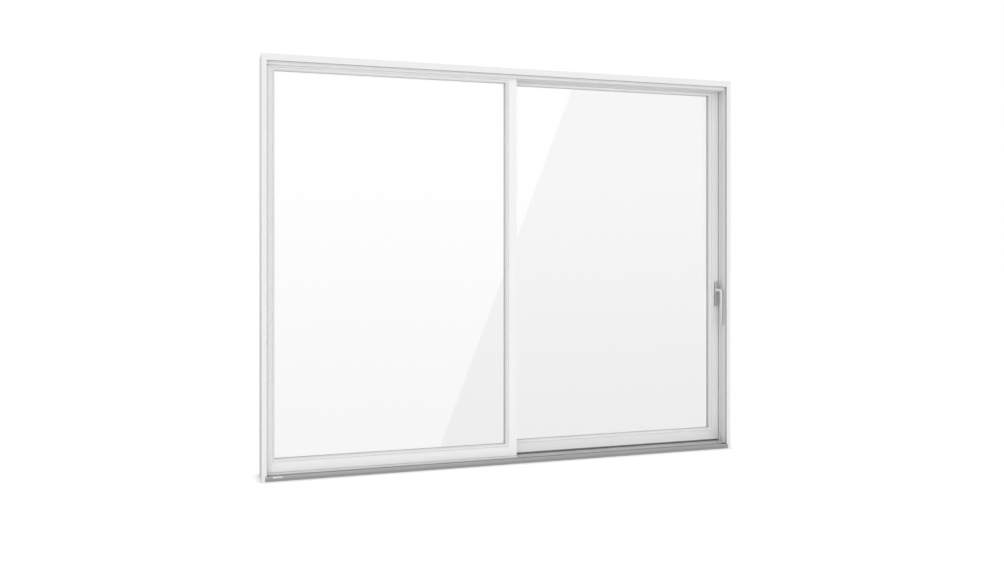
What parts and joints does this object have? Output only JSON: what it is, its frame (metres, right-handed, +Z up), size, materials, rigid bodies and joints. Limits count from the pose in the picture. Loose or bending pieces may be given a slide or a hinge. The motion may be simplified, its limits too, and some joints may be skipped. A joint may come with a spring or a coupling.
{
  "type": "sliding patio door",
  "caption": "White sliding patio door: a fixed glazed panel in front, a sliding glazed panel behind it on a rail, a lever handle and a low metal threshold.",
  "frame": {"origin": "middle of the frame's footprint, on the floor", "axes": "+X to the right seen from the room side, +Y from the room side to the outer side, +Z up"},
  "size_m": [2.6, 0.16, 2.09],
  "materials": {
    "painted_timber": "white paint, satin",
    "painted_bead": "white paint, satin",
    "threshold_metal": "natural anodised, satin",
    "threshold_composite": "matte",
    "rail_steel": "brushed",
    "guide_metal": "natural anodised, satin",
    "glazing_gasket": "matte",
    "seal_rubber": "matte",
    "clear_glass": "clear, polished",
    "spacer_bar": "satin",
    "lock_steel": "satin",
    "running_plastic": "matte",
    "handle_metal": "silver anodised, satin"
  },
  "bodies": {
    "frame": {"frame_head": "painted_timber", "frame_left_jamb": "painted_timber", "frame_right_jamb": "painted_timber", "threshold_deck": "threshold_metal", "threshold_base": "threshold_composite", "running_rail": "rail_steel", "head_guide_rail": "guide_metal", "fixed_plinth": "painted_timber", "fixed_left_stile": "painted_timber", "fixed_meeting_stile": "painted_timber", "fixed_top_rail": "painted_timber", "fixed_bottom_rail": "painted_timber", "fixed_bead_left": "painted_bead", "fixed_bead_right": "painted_bead", "fixed_bead_top": "painted_bead", "fixed_bead_bottom": "painted_bead", "fixed_gaskets": "glazing_gasket", "fixed_pane_front": "clear_glass", "fixed_pane_back": "clear_glass", "fixed_spacer": "spacer_bar", "fixed_panel_seal": "seal_rubber", "fixed_interlock": "guide_metal", "closing_seal": "glazing_gasket", "keeper": "lock_steel"},
    "sliding_panel": {"slide_meeting_stile": "painted_timber", "slide_lock_stile": "painted_timber", "slide_bottom_rail": "painted_timber", "slide_top_rail": "painted_timber", "slide_bead_left": "painted_bead", "slide_bead_right": "painted_bead", "slide_bead_bottom": "painted_bead", "slide_bead_top": "painted_bead", "slide_gaskets": "glazing_gasket", "slide_pane_front": "clear_glass", "slide_pane_back": "clear_glass", "slide_spacer": "spacer_bar", "slide_interlock": "guide_metal", "slide_bottom_seal": "seal_rubber", "lock_faceplate": "lock_steel", "roller_housings": "lock_steel", "rollers": "running_plastic", "guide_shoes": "running_plastic", "handle_plate": "handle_metal", "flush_pull": "handle_metal"},
    "lever": {"handle_lever": "handle_metal"}
  },
  "joints": [
    {"name": "panel_slide", "type": "slide", "parent": "frame", "child": "sliding_panel", "axis": [-1, 0, 0], "range_m": [0, 1.21]},
    {"name": "handle_turn", "type": "hinge", "parent": "sliding_panel", "child": "lever", "pos_m": [1.265, -0.01, 0.897], "axis": [0, 1, 0], "range_deg": [0, 180]}
  ]
}
